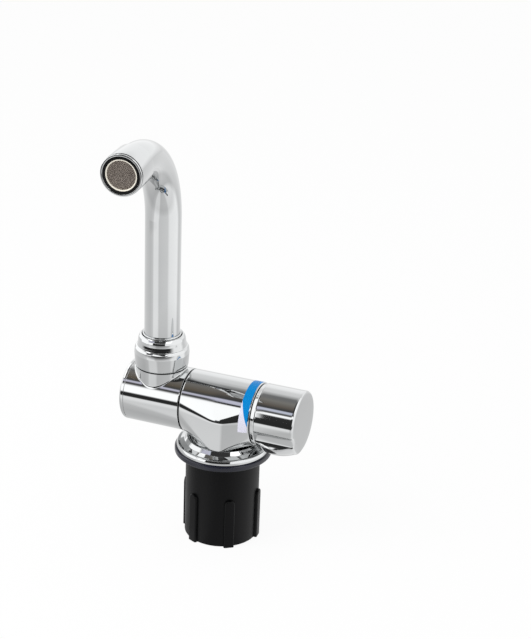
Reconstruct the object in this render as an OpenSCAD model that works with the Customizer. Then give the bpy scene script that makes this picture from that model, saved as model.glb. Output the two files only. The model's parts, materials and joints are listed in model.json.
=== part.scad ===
// Folding cold-water kitchen tap with a swivelling spout and a turning knob.
// The origin is on the axis of the threaded shank, at the worktop surface.
// +Z is up, and the barrel lies along X with the knob at +X. Millimetres.

/* [Barrel] */
// Diameter of the barrel
barrel_d = 33.8; // [32:0.1:36]
// Height of the barrel axis above the worktop
axis_z = 25.8; // [25.4:0.1:32]
// Length of the casting from the shank axis to the carrier side
body_left = 19.2; // [19:0.1:24]
// Length of the casting from the shank axis to the knob side
body_right = 20.5; // [20.5:0.1:26]
// Open seam between the casting and the turning pieces
seam_gap = 0.8; // [0.6:0.1:1.2]

/* [Foot and flange] */
// Diameter of the casting foot
foot_d = 38.4; // [36:0.2:38.4]
// Width of the casting across its two keels, front to back
keel_d = 38.6; // [36:0.2:40]
// Radius at the top of a keel
keel_round = 8; // [5:0.5:9]
// Diameter of the chrome flange
flange_d = 50.4; // [46:0.2:56]
// Height of the flange from the gasket to the foot
flange_h = 5.5; // [4.4:0.1:5.8]
// Height of the upright rim of the flange
rim_h = 2.8; // [1.5:0.1:3.2]
// Diameter of the rubber gasket
gasket_d = 52.4; // [50.6:0.2:60]
// Thickness of the rubber gasket
gasket_t = 3; // [2:0.1:3]

/* [Shank and lock nut] */
// Outer diameter of the shank thread
shank_d = 33; // [30:0.5:34]
// Pitch of the shank thread
shank_pitch = 2; // [1.5:0.5:3]
// Length of the shank below the worktop
shank_len = 47; // [30:1:60]
// Bore of the water inlet at the bottom of the shank
inlet_d = 15; // [12:0.5:18]
// Depth of the inlet socket
inlet_depth = 14; // [8:1:20]
// Outer diameter of the lock nut
nut_d = 40; // [38:0.5:46]
// Height of the lock nut
nut_h = 48.8; // [35:0.2:60]
// Diameter over the grip ribs
nut_rib_d = 43; // [41:0.5:50]
// Width of a grip rib
nut_rib_w = 5.6; // [4:0.2:7]
// Number of grip ribs
nut_ribs = 6; // [4:1:8]
// Smooth height of the lock nut above the ribs
nut_plain_h = 20.2; // [8:0.2:24]
// Angle of the first rib, from straight ahead towards the knob
nut_turn = 34.5; // [0:0.5:60]

/* [Carrier and collar] */
// Distance of the spout axis from the shank axis
spout_x = 36.9; // [36.5:0.1:42]
// Length of the turning carrier, end cap included
carrier_len = 34.4; // [33:0.1:40]
// Thickness of the end cap that shows
cap_t = 2.5; // [1.5:0.1:3.5]
// Diameter of the neck
neck_d = 24.8; // [24.4:0.1:25.6]
// Height of the neck shoulder above the worktop
neck_z = 42.9; // [42.7:0.1:50]
// Height of the collar nut
collar_h = 18.2; // [17.6:0.1:24]
// Largest diameter of the collar nut
collar_d = 29.5; // [28.6:0.1:33]

/* [Spout] */
// Outer diameter of the spout tube
tube_d = 19; // [18.6:0.1:19]
// Wall of the spout tube
tube_wall = 1; // [0.8:0.1:1.2]
// Height of the arm axis above the worktop
spout_top = 167.8; // [120:0.2:260]
// Radius of the spout bend
bend_r = 41.4; // [30:0.2:60]
// Straight length from the bend to the mouth
arm_len = 19.6; // [18:0.2:120]
// Droop of the arm below level
arm_droop = 2; // [0:0.5:30]
// Swing of the arm from straight ahead towards the knob
spout_turn = 6; // [-180:1:180]
// Outer diameter of the mouth sleeve
mouth_d = 21.3; // [20.8:0.1:24]
// Length of the mouth sleeve
mouth_len = 17; // [15:0.5:18]

/* [Knob] */
// Length of the knob
knob_len = 23.5; // [23:0.1:32]
// How far the grip lobe stands out from the knob
lobe_rise = 2.9; // [1.5:0.1:3]
// Direction of the lobe, degrees above level at the front
lobe_turn = -68; // [-180:1:180]
// Turn of the knob from shut to full flow, as drawn on the product
knob_travel = 300; // [90:5:330]
// Lift of the valve plunger at full flow
valve_lift = 2.5; // [1.5:0.1:2.6]

/* [Fits] */
// Radial running clearance of turning parts
run_fit = 0.05; // [0.03:0.01:0.08]
// Radial clearance of threads and seated parts
seat_fit = 0.1; // [0.05:0.05:0.2]
// Gap left at soft seals and end faces
end_gap = 0.2; // [0.1:0.05:0.3]

/* [Hidden] */
$fn = 96;
eps = 0.01;
chrome = [0.80, 0.81, 0.83];
brass = [0.78, 0.62, 0.30];
rubber = [0.08, 0.09, 0.11];

barrel_r = barrel_d / 2;
foot_r = foot_d / 2;
foot_z = gasket_t + flange_h;
flange_r = flange_d / 2;
shank_r = shank_d / 2;
thread_depth = 1;
shank_bore = 5.5;
spigot_r = 12.9;
spigot_len = 14;
left_face = -body_left;
right_face = body_right;

// Pivot on which the carrier folds
pivot_r = 9;
pivot_bore = 5.8;
pivot_waist = 7.4;
pivot_end = -(spout_x + 10.6);
pivot_root = 8.4;
waist_half = 6.6;
stud_r = 5;
pivot_nut_h = 2;
pivot_washer_t = 0.8;
seal_d = 1.6;
seal_groove = 2;

// Carrier and collar
carrier_right = left_face - seam_gap;
carrier_left = carrier_right - carrier_len;
cap_face = carrier_left + cap_t;
cap_bore = 12.6;
neck_r = neck_d / 2;
thread_step = 0.4;
collar_gap = 0.35;
collar_z = neck_z + collar_gap;
collar_top = collar_z + collar_h;
neck_top = neck_z + 11.1;
spout_axis = [-spout_x, 0, 0];

// Spout foot in its socket
tube_r = tube_d / 2;
socket_r = 10.1;
socket_floor = neck_z + 1.2;
foot_flange_r = 11.3;
foot_flange_h = 1.9;
slide_t = 1.5;
lip_z = neck_top + foot_flange_h + slide_t + 2 * end_gap;
collar_lip_r = 10.75;
tube_seat_z = neck_top - 1.6;
bend_z = spout_top - bend_r;

// Aerator in the mouth
mouth_bore = 9.6;
tube_in_mouth = 4;
shell_t = 1;
shell_groove = 0.6;
ring_r = 9.05;
insert_r = 7.6;
mesh_r = 6.6;
mesh_pitch = 1;
mesh_wire = 0.4;

// Valve along the barrel
seat_x = -5;
orifice_r = 3.4;
chamber_r = 7.6;
bonnet_r = 10.5;
bonnet_x = 8;
bonnet_flange_t = 2.5;
bonnet_flange_r = 13.1;
bonnet_neck_r = 7.5;
bonnet_end = right_face + 8.5;
hex_r = 6.2;
plunger_x = seat_x + 2.5;
plunger_len = 14.5;
washer_r = 5.2;
washer_t = plunger_x - seat_x - end_gap;
screw_r = 1.5;
spindle_thread_r = 3.5;
collar_x = bonnet_x + 7.6;
spindle_collar_r = 5.2;
spindle_r = 4.2;
spline_r = 3.6;
spline_end = right_face + 20;
clip_t = 1;

// Knob
knob_left = right_face + seam_gap;
knob_right = knob_left + knob_len;
knob_edge = 1.4;
bead_w = 1.7;
bead_groove = 0.35;
knob_cavity = bonnet_flange_r + 0.5;
knob_wall = 4;
knob_boss = 6.5;
lobe_r = 14;
lobe_x = knob_left + 11.6;
lobe_bow = 23.8;
scoop_r = 6;
scoop_depth = 2;
scoop_turn = lobe_turn + 47;
grub_r = 2;
grub_turn = lobe_turn - 70;
grub_x = right_face + 15.5;

// Keels of the casting
keel_x = 3.2;
keel_flat = 6;
keel_drop = 2;
skin = 0.05;

// Coloured flow marks let into the casting
mark_left = right_face - 5.5;
mark_right = right_face - 0.7;
mark_depth = 0.6;
mark_low = -3.8;
mark_tip = -2;
mark_full = 45;

// Points of an arc about [x, y], from angle a to angle b
function arc(x, y, r, a, b, n = 8) =
    [for (i = [0:n]) [x + r * cos(a + (b - a) * i / n), y + r * sin(a + (b - a) * i / n)]];

// Turns a shape made along local Z onto the barrel axis, with X growing to the right
module on_barrel(x = 0) {
    translate([x, 0, axis_z]) rotate([0, 90, 0]) children();
}

module barrel_rod(x1, x2, r) {
    on_barrel(x1) cylinder(h = x2 - x1, r = r);
}

module barrel_ring(x1, x2, r1, r2) {
    difference() {
        barrel_rod(x1, x2, r2);
        barrel_rod(x1 - 1, x2 + 1, r1);
    }
}

// Local Z runs along the barrel and local X points out at an angle above level at the front
module at_turn(x, angle) {
    on_barrel(x) rotate(-90 - angle) children();
}

// The room of the marks: a slice of the barrel above their lower end, less the shape given
module mark_slab(reach) {
    difference() {
        translate([mark_left, -reach, axis_z + mark_low]) cube([mark_right - mark_left, 2 * reach, reach]);
        children();
    }
}

// O-ring about the barrel axis or, with no rotation, about local Z
module o_ring(seat_r, d) {
    rotate_extrude() translate([seat_r + d / 2, 0]) circle(d = d, $fn = 32);
}

module ring(r1, r2, h) {
    difference() {
        cylinder(h = h, r = r2);
        translate([0, 0, -1]) cylinder(h = h + 2, r = r1);
    }
}

// One keel: the upright front or back edge that the sides of the casting run to
module keel(side, inset) {
    wall_y = keel_d / 2 - inset;
    translate([keel_x - keel_flat / 2, side * (wall_y - keel_round), axis_z - keel_drop])
        rotate([0, 90, 0]) cylinder(h = keel_flat, r = keel_round);
    translate([keel_x - keel_flat / 2, side * (wall_y - 0.5) - 0.5, foot_z + inset])
        cube([keel_flat, 1, 1]);
}

// The barrel, drawn out at the front and back to the keels
module casting_form(inset = 0) {
    disc_r = barrel_r - inset - skin;
    barrel_rod(left_face, right_face, barrel_r - inset);
    hull() {
        barrel_rod(left_face + skin, left_face + 2 * skin, disc_r);
        barrel_rod(right_face - 2 * skin, right_face - skin, disc_r);
        keel(-1, inset);
        keel(1, inset);
    }
}

module body_casting() {
    color(chrome)
    difference() {
        union() {
            casting_form();
            translate([0, 0, foot_z]) cylinder(h = axis_z - foot_z, r = shank_r);
            translate([0, 0, foot_z - spigot_len]) cylinder(h = spigot_len + 1, r = spigot_r);
        }
        barrel_rod(left_face - 1, left_face + pivot_root, pivot_r + seat_fit);
        barrel_rod(left_face, seat_x - 4, pivot_bore);
        barrel_rod(left_face, seat_x + 1, orifice_r);
        barrel_rod(seat_x, bonnet_x + 1, chamber_r);
        barrel_rod(bonnet_x, right_face + 1, bonnet_r);
        barrel_rod(right_face - 1.7, right_face + 1, bonnet_r + 2.1);
        translate([seat_x + chamber_r - 1.6, 0, foot_z - spigot_len - 1])
            cylinder(h = axis_z - foot_z + spigot_len, r = orifice_r);
        mark_slab(barrel_d) casting_form(mark_depth);
    }
}

module deck_flange() {
    edge = 0.7;
    color(chrome)
    rotate_extrude() polygon(concat(
        [[shank_r + seat_fit, gasket_t], [flange_r - edge, gasket_t]],
        arc(flange_r - edge, gasket_t + edge, edge, -90, 0, 4),
        arc(flange_r - edge - 0.3, gasket_t + rim_h - edge, edge, 0, 90, 6),
        [[flange_r - 2.2, gasket_t + rim_h - 0.25], [foot_r + 0.2, foot_z],
         [shank_r + seat_fit, foot_z]]));
}

module deck_gasket() {
    gasket_r = gasket_d / 2;
    edge = 0.8;
    color(rubber)
    rotate_extrude() polygon(concat(
        [[shank_r + seat_fit, 0]],
        arc(gasket_r - edge, edge, edge, -90, 0, 4),
        arc(gasket_r - edge, gasket_t - edge, edge, 0, 90, 4),
        [[shank_r + seat_fit, gasket_t]]));
}

module threaded_shank() {
    turns = floor((shank_len - 2) / shank_pitch);
    root_r = shank_r - thread_depth;
    crest = shank_pitch / 8;
    color(brass)
    difference() {
        rotate_extrude() polygon(concat(
            [[shank_bore, foot_z], [shank_bore, inlet_depth - shank_len],
             [inlet_d / 2, inlet_depth - shank_len], [inlet_d / 2, -shank_len], [root_r, -shank_len]],
            [for (i = [turns - 1:-1:0], p = [0:3])
                let (z = -1 - i * shank_pitch)
                [p == 0 || p == 3 ? root_r : shank_r,
                 z - shank_pitch + (p == 0 ? crest : p == 1 ? 0.5 * shank_pitch - crest
                                  : p == 2 ? 0.5 * shank_pitch + crest : shank_pitch - crest)]],
            [[shank_r, 0], [shank_r, foot_z]]));
        translate([0, 0, foot_z - spigot_len - end_gap]) cylinder(h = spigot_len + 1, r = spigot_r + seat_fit);
    }
}

module lock_nut() {
    nut_r = nut_d / 2;
    rib_r = nut_rib_w / 2;
    color([0.10, 0.11, 0.11])
    translate([0, 0, -nut_h])
    difference() {
        union() {
            cylinder(h = nut_h, r = nut_r);
            for (i = [0:nut_ribs - 1])
                rotate(nut_turn - 90 + i * 360 / nut_ribs) {
                    translate([0, -rib_r, 0]) cube([nut_rib_d / 2, nut_rib_w, nut_h - nut_plain_h - rib_r]);
                    translate([0, 0, nut_h - nut_plain_h - rib_r]) rotate([0, 90, 0])
                        cylinder(h = nut_rib_d / 2, r = rib_r, $fn = 48);
                }
        }
        translate([0, 0, -1]) cylinder(h = nut_h + 2, r = shank_r + seat_fit);
    }
}

// The blue part of the mark lies above a plane that leans towards the carrier
module above_mark_plane() {
    tip_z = axis_z + barrel_r * sin(mark_tip);
    rise = barrel_r * (sin(mark_full) - sin(mark_tip));
    lean = atan((mark_right - mark_left) / rise);
    translate([mark_right, 0, tip_z]) rotate([0, -lean, 0])
        translate([0, -barrel_d, -barrel_d]) cube(2 * barrel_d);
}

module mark_ring() {
    intersection() {
        casting_form();
        mark_slab(barrel_d) casting_form(mark_depth);
    }
}

module flow_mark_blue() {
    color([0.05, 0.55, 0.82])
    intersection() {
        mark_ring();
        above_mark_plane();
    }
}

module flow_mark_white() {
    color([0.86, 0.86, 0.93])
    difference() {
        mark_ring();
        above_mark_plane();
    }
}

module pivot_tube() {
    inner = -(spout_x - waist_half);
    outer = -(spout_x + waist_half);
    inner_seal = (inner + carrier_right) / 2;
    outer_seal = (outer + pivot_end) / 2;
    port_r = 2.4;
    color(brass)
    difference() {
        union() {
            barrel_rod(pivot_end, left_face + pivot_root, pivot_r);
            barrel_rod(pivot_end - pivot_washer_t - pivot_nut_h - 2 * end_gap, pivot_end, stud_r);
        }
        barrel_rod(pivot_end + 3, left_face + pivot_root + 1, pivot_bore);
        barrel_ring(outer, inner, pivot_waist, pivot_r + 1);
        for (x = [inner_seal, outer_seal])
            barrel_ring(x - seal_groove / 2, x + seal_groove / 2, pivot_r - seal_d, pivot_r + 1);
        translate([-spout_x, 0, axis_z])
            for (a = [0, 90]) rotate([a, 0, 0])
                cylinder(h = 2 * pivot_r, r = port_r, center = true);
    }
}

module pivot_seals() {
    inner = (-(spout_x - waist_half) + carrier_right) / 2;
    outer = (-(spout_x + waist_half) + pivot_end) / 2;
    color(rubber)
    for (x = [inner, outer]) on_barrel(x) o_ring(pivot_r - seal_d, seal_d);
}

module seam_washer() {
    color([0.12, 0.12, 0.13])
    barrel_ring(left_face - seam_gap + 0.3, left_face, pivot_r + seat_fit, barrel_r - 0.9);
}

module pivot_washer() {
    color([0.90, 0.90, 0.86])
    barrel_ring(pivot_end - end_gap - pivot_washer_t, pivot_end - end_gap, stud_r + seat_fit, cap_bore - 0.6);
}

module pivot_nut() {
    color(brass)
    difference() {
        on_barrel(pivot_end - end_gap - pivot_washer_t - pivot_nut_h) cylinder(h = pivot_nut_h, r = 9, $fn = 6);
        barrel_rod(cap_face, pivot_end, stud_r + seat_fit);
    }
}

module carrier_housing() {
    color(chrome)
    difference() {
        union() {
            barrel_rod(cap_face, carrier_right, barrel_r);
            translate([0, 0, axis_z]) translate(spout_axis) cylinder(h = neck_z - axis_z, r = neck_r);
            translate([0, 0, axis_z]) translate(spout_axis)
                cylinder(h = neck_top - axis_z, r = neck_r - thread_step);
        }
        barrel_rod(cap_face - 1, carrier_right + 1, pivot_r + run_fit);
        barrel_rod(cap_face - 1, pivot_end, cap_bore);
        translate([0, 0, socket_floor]) translate(spout_axis) cylinder(h = 20, r = socket_r);
        translate([0, 0, axis_z]) translate(spout_axis) cylinder(h = 20, r = pivot_bore);
    }
}

module end_cap() {
    round_r = 2.2;
    lip_r = cap_bore - seat_fit;
    color(chrome)
    on_barrel(carrier_left) rotate_extrude() polygon(concat(
        [[0, 0], [barrel_r - round_r, 0]],
        arc(barrel_r - round_r, round_r, round_r, -90, 0, 8),
        [[barrel_r, cap_t], [lip_r, cap_t], [lip_r, cap_t + 0.8],
         [lip_r - 1, cap_t + 0.8], [lip_r - 1, cap_t - 1], [0, cap_t - 1]]));
}

// Outline of the collar nut: a bulged band, a stepped shoulder and a thin top lip
function collar_outline() =
    let (r = collar_d / 2, z = collar_z, t = collar_top, bulge_r = 16)
    concat([[r - 1.5, z]],
           [for (i = [0:8]) let (a = -24 + 46 * i / 8)
               [r - bulge_r * (1 - cos(a)), z + 6 + 0.9 * bulge_r * sin(a)]],
           [[r - 1.5, t - 6.3], [r - 1.85, t - 4.9]],
           arc(collar_lip_r - 0.55, t - 2.4, 2.4, 0, 75, 8),
           [[collar_lip_r, t]]);

module collar_nut() {
    color(chrome)
    translate(spout_axis)
    rotate_extrude() polygon(concat(
        [[neck_r - thread_step + seat_fit, collar_z]],
        collar_outline(),
        [[collar_lip_r, lip_z], [foot_flange_r + 0.2, lip_z],
         [foot_flange_r + 0.2, neck_top + end_gap], [neck_r - thread_step + seat_fit, neck_top + end_gap]]));
}

module slide_washer() {
    color([0.90, 0.90, 0.86])
    translate(spout_axis) translate([0, 0, lip_z - slide_t])
        ring(tube_r + 0.9 + seat_fit, foot_flange_r + seat_fit, slide_t);
}

// Brazed ferrule that turns in the neck, with a rounded ring around the tube at its top
module spout_foot() {
    top = collar_top + 0.7;
    ring_out = tube_r + 0.9;
    color(chrome)
    translate(spout_axis)
    difference() {
        rotate_extrude() polygon(concat(
            [[tube_r - 1.9, socket_floor + end_gap], [socket_r - run_fit, socket_floor + end_gap],
             [socket_r - run_fit, neck_top + end_gap / 2], [foot_flange_r, neck_top + end_gap / 2],
             [foot_flange_r, neck_top + end_gap / 2 + foot_flange_h],
             [ring_out, neck_top + end_gap / 2 + foot_flange_h]],
            arc(ring_out - 0.45, top - 0.45, 0.45, 0, 180, 8),
            [[tube_r, tube_seat_z], [tube_r - 1.9, tube_seat_z]]));
        for (z = seal_heights())
            translate([0, 0, z - 0.8]) ring(socket_r - run_fit - 1.3, socket_r + 1, 1.6);
    }
}

function seal_heights() = [socket_floor + 2.6, socket_floor + 5.8];

module spout_seals() {
    color(rubber)
    translate(spout_axis)
        for (z = seal_heights()) translate([0, 0, z]) o_ring(socket_r - run_fit - 1.3, 1.3);
}

// Local Z runs along the arm, from the end of the bend
module at_arm(s) {
    translate([0, -bend_r, bend_z]) rotate([90, 0, 90]) rotate(90 + arm_droop)
        translate([bend_r, 0, 0]) rotate([-90, 0, 0]) translate([0, 0, s]) children();
}

module spout_tube() {
    color(chrome)
    translate(spout_axis) rotate(spout_turn) {
        translate([0, 0, tube_seat_z]) ring(tube_r - tube_wall, tube_r, bend_z - tube_seat_z);
        translate([0, -bend_r, bend_z]) rotate([90, 0, 90])
            difference() {
                rotate_extrude(angle = 90 + arm_droop) translate([bend_r, 0]) circle(r = tube_r);
                rotate_extrude(angle = 90 + arm_droop) translate([bend_r, 0]) circle(r = tube_r - tube_wall);
            }
        at_arm(-end_gap)
            ring(tube_r - tube_wall + eps, tube_r - eps, arm_len - mouth_len + tube_in_mouth + end_gap);
    }
}

module at_mouth(s) {
    translate(spout_axis) rotate(spout_turn) at_arm(arm_len + s) children();
}

module mouth_sleeve() {
    mouth_r = mouth_d / 2;
    back = -mouth_len;
    front = -shell_t - shell_groove;
    color(chrome)
    at_mouth(0) rotate_extrude() polygon(concat(
        [[tube_r, back], [mouth_r - 0.6, back]],
        arc(mouth_r - 0.6, back + 0.6, 0.6, -90, 0, 4),
        [[mouth_r, front], [mouth_bore, front], [mouth_bore, back + tube_in_mouth + 1],
         [tube_r - tube_wall, back + tube_in_mouth + 1], [tube_r - tube_wall, back + tube_in_mouth],
         [tube_r, back + tube_in_mouth]]));
}

module aerator_shell() {
    shell_r = mouth_d / 2 - 0.15;
    body_r = mouth_bore - seat_fit;
    edge = 0.35;
    depth = 9;
    color(chrome)
    at_mouth(0) rotate_extrude() polygon(concat(
        [[insert_r + 0.4, -depth], [body_r, -depth], [body_r, -shell_t]],
        [[shell_r, -shell_t]],
        arc(shell_r - edge, -edge, edge, 0, 90, 4),
        [[ring_r, 0], [ring_r, -2], [insert_r + 0.4, -2]]));
}

module aerator_gasket() {
    color(rubber)
    at_mouth(-2) ring(insert_r, ring_r, 1.85);
}

module aerator_insert() {
    color([0.86, 0.83, 0.76])
    at_mouth(0) rotate_extrude() polygon(concat(
        [[mesh_r, -8], [insert_r, -8]],
        arc(insert_r - 0.4, -0.5, 0.4, 0, 90, 4),
        [[mesh_r, -0.3]]));
}

module aerator_mesh() {
    count = floor(mesh_r / mesh_pitch);
    thick = 0.4;
    color([0.35, 0.33, 0.31])
    at_mouth(-1.3) {
        intersection() {
            cylinder(h = thick, r = mesh_r);
            union() {
                for (i = [-count:count]) {
                    translate([i * mesh_pitch - mesh_wire / 2, -mesh_r, 0]) cube([mesh_wire, 2 * mesh_r, thick]);
                    translate([-mesh_r, i * mesh_pitch - mesh_wire / 2, 0]) cube([2 * mesh_r, mesh_wire, thick]);
                }
            }
        }
        ring(mesh_r - 0.5, mesh_r, thick);
    }
}

module valve_bonnet() {
    pocket = [bonnet_x + end_gap, collar_x];
    color(brass)
    difference() {
        union() {
            barrel_rod(pocket[0], right_face, bonnet_r - seat_fit);
            barrel_rod(right_face, right_face + bonnet_flange_t, bonnet_flange_r);
            barrel_rod(right_face, bonnet_end, bonnet_neck_r);
        }
        on_barrel(pocket[0] - 1) cylinder(h = collar_x - pocket[0] + 1, r = hex_r + seat_fit, $fn = 6);
        barrel_rod(collar_x - eps, collar_x + 1.9, spindle_collar_r + seat_fit);
        barrel_rod(collar_x, bonnet_end + 1, spindle_r + run_fit);
    }
}

module bonnet_seal() {
    color(rubber)
    barrel_ring(right_face - 1.6, right_face - 0.05, bonnet_r + 0.05, bonnet_r + 2);
}

module valve_plunger() {
    color(brass)
    difference() {
        on_barrel(plunger_x) cylinder(h = plunger_len, r = hex_r, $fn = 6);
        barrel_rod(plunger_x + 5, plunger_x + plunger_len + 1, spindle_thread_r + seat_fit);
        barrel_rod(plunger_x - 1, plunger_x + 3.6, screw_r + eps);
    }
}

module valve_washer() {
    color(rubber)
    barrel_ring(plunger_x - washer_t, plunger_x, screw_r + eps, washer_r);
}

module washer_screw() {
    head_r = 2.4;
    head_h = 1.2;
    color(brass) {
        barrel_rod(plunger_x - washer_t - head_h, plunger_x - washer_t, head_r);
        barrel_rod(plunger_x - washer_t, plunger_x + 3.4, screw_r);
    }
}

module valve_spindle() {
    clip_x = bonnet_end + end_gap;
    color(brass)
    difference() {
        union() {
            barrel_rod(plunger_x + 5 + valve_lift + 0.5, collar_x + end_gap, spindle_thread_r);
            barrel_rod(collar_x + end_gap, collar_x + 1.7, spindle_collar_r);
            barrel_rod(collar_x + 1.7, clip_x + clip_t + 0.4, spindle_r);
            barrel_rod(clip_x, spline_end, spline_r);
        }
        for (x = spindle_seal_places()) barrel_ring(x - 0.8, x + 0.8, spindle_r - 1.3, spindle_r + 1);
        barrel_ring(clip_x, clip_x + clip_t, spindle_r - 0.7, spindle_r + 1);
    }
}

function spindle_seal_places() = [right_face - 0.5, right_face + 3.5];

module spindle_seals() {
    color(rubber)
    for (x = spindle_seal_places()) on_barrel(x) o_ring(spindle_r - 1.3, 1.3);
}

module spindle_clip() {
    x = bonnet_end + end_gap;
    color([0.45, 0.46, 0.48])
    difference() {
        barrel_ring(x + eps, x + clip_t - eps, spindle_r - 0.7, spindle_r + 1.8);
        translate([x - 1, -1.6, axis_z + 2]) cube([clip_t + 2, 3.2, spindle_r + 2]);
    }
}

module knob_shell() {
    grip_left = knob_left + bead_w + 2 * bead_groove;
    lobe_left = grip_left + end_gap - lobe_x;
    lobe_right = knob_right - knob_edge - end_gap - lobe_x;
    boss_left = bonnet_end + 2 * end_gap + clip_t + 0.6;
    color(chrome)
    difference() {
        union() {
            on_barrel(knob_left) rotate_extrude() polygon(concat(
                [[0, 0]],
                arc(barrel_r - 0.5, 0.5, 0.5, -90, 0, 4),
                [[barrel_r, bead_w], [barrel_r - bead_groove, bead_w + bead_groove],
                 [barrel_r, bead_w + 2 * bead_groove]],
                arc(barrel_r - knob_edge, knob_len - knob_edge, knob_edge, 0, 90, 8),
                [[0, knob_len]]));
            at_turn(lobe_x, lobe_turn) translate([barrel_r + lobe_rise - lobe_r, 0, 0])
                rotate_extrude() polygon(concat(
                    [[0, lobe_left]],
                    arc(lobe_r - lobe_bow, 0, lobe_bow, asin(lobe_left / lobe_bow), asin(lobe_right / lobe_bow), 14),
                    [[0, lobe_right]]));
        }
        difference() {
            barrel_rod(knob_left - 1, knob_right - knob_wall, knob_cavity);
            barrel_rod(boss_left, knob_right, knob_boss);
        }
        barrel_rod(boss_left - 1, spline_end + end_gap, spline_r + run_fit);
        at_turn(grip_left, scoop_turn) translate([barrel_r - scoop_depth + scoop_r, 0, 0])
            cylinder(h = knob_len, r = scoop_r);
        at_turn(grub_x, grub_turn) rotate([0, 90, 0]) cylinder(h = 2 * barrel_r, r = grub_r + seat_fit, $fn = 32);
    }
}

module knob_grub_screw() {
    length = 4;
    key = 1.2;
    color([0.45, 0.46, 0.48])
    at_turn(grub_x, grub_turn) translate([spline_r + end_gap, 0, 0]) rotate([0, 90, 0])
        difference() {
            cylinder(h = length, r = grub_r, $fn = 32);
            translate([0, 0, length - 1.5]) cylinder(h = 2, r = key, $fn = 6);
        }
}

body_casting();
deck_flange();
deck_gasket();
threaded_shank();
lock_nut();
flow_mark_blue();
flow_mark_white();
pivot_tube();
pivot_seals();
seam_washer();
pivot_washer();
pivot_nut();
carrier_housing();
end_cap();
collar_nut();
slide_washer();
spout_foot();
spout_seals();
spout_tube();
mouth_sleeve();
aerator_shell();
aerator_gasket();
aerator_insert();
aerator_mesh();
valve_bonnet();
bonnet_seal();
valve_plunger();
valve_washer();
washer_screw();
valve_spindle();
spindle_seals();
spindle_clip();
knob_shell();
knob_grub_screw();
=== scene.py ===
import bmesh
import bpy
import json
import math
import numpy as np
from mathutils import Euler, Matrix, Vector


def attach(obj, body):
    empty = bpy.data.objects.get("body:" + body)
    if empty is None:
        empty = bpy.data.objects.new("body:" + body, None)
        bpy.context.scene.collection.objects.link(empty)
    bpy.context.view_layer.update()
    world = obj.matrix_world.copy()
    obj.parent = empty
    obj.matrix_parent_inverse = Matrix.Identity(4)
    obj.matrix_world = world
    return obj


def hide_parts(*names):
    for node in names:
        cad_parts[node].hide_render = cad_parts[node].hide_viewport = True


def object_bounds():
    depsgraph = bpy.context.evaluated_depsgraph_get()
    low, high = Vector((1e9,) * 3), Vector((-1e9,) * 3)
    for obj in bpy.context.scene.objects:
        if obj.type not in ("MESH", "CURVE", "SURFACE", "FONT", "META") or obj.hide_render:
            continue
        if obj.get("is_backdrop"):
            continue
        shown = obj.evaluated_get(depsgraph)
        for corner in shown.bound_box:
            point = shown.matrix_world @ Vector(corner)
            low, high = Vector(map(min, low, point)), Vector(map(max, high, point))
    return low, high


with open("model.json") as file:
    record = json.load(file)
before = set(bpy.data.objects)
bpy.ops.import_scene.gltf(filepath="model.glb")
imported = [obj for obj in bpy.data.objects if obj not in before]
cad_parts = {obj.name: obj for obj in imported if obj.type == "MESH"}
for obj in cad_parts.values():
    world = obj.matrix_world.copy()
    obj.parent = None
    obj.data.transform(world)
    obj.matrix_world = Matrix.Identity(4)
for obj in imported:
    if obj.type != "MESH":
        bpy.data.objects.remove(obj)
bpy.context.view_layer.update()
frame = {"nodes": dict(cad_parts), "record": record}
mm = 0.001
axisZ = 25.8        # height of the barrel axis, mm
spoutX = -36.9      # axis the spout swivels on, mm
print("frame loaded")


def linear(hexText):
    # sRGB hex to the linear colour that a shader wants
    parts = [int(hexText[i:i + 2], 16) / 255 for i in (1, 3, 5)]
    return tuple(c / 12.92 if c <= 0.04045 else ((c + 0.055) / 1.055) ** 2.4 for c in parts) + (1.0,)


def addNode(tree, kind, links=None, **settings):
    # links: input name or number -> a value, or an output socket to join
    node = tree.nodes.new(kind)
    for key, value in settings.items():
        setattr(node, key, value)
    for key, value in (links or {}).items():
        if isinstance(value, bpy.types.NodeSocket):
            tree.links.new(value, node.inputs[key])
        else:
            node.inputs[key].default_value = value
    return node


def noiseFinish(name, grain, tones, roughness, relief=None, shader=None):
    # grain: (noise scale per metre, detail) of the colour between two tones and of the roughness
    # relief: (noise scale per metre, detail, depth in metres, strength) of the bump
    material = bpy.data.materials.new(name)
    material.use_nodes = True
    tree = material.node_tree
    tree.nodes.clear()
    place = addNode(tree, "ShaderNodeTexCoord").outputs["Object"]
    cloud = addNode(tree, "ShaderNodeTexNoise", {
        "Vector": place, "Scale": grain[0], "Detail": grain[1]}).outputs[0]
    colour = addNode(tree, "ShaderNodeMix", {0: cloud, 6: linear(tones[0]), 7: linear(tones[1])},
                     data_type="RGBA")
    rough = addNode(tree, "ShaderNodeMapRange", {
        "Value": cloud, "To Min": roughness[0], "To Max": roughness[1]})
    surface = addNode(tree, "ShaderNodeBsdfPrincipled", {
        "Base Color": colour.outputs[2], "Roughness": rough.outputs[0], **(shader or {})})
    addNode(tree, "ShaderNodeOutputMaterial", {"Surface": surface.outputs[0]})
    if relief:
        scale, detail, depth, strength = relief
        height = addNode(tree, "ShaderNodeTexNoise", {"Vector": place, "Scale": scale, "Detail": detail})
        normal = addNode(tree, "ShaderNodeBump", {
            "Height": height.outputs[0], "Distance": depth, "Strength": strength})
        tree.links.new(normal.outputs[0], surface.inputs["Normal"])
    return material


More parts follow.
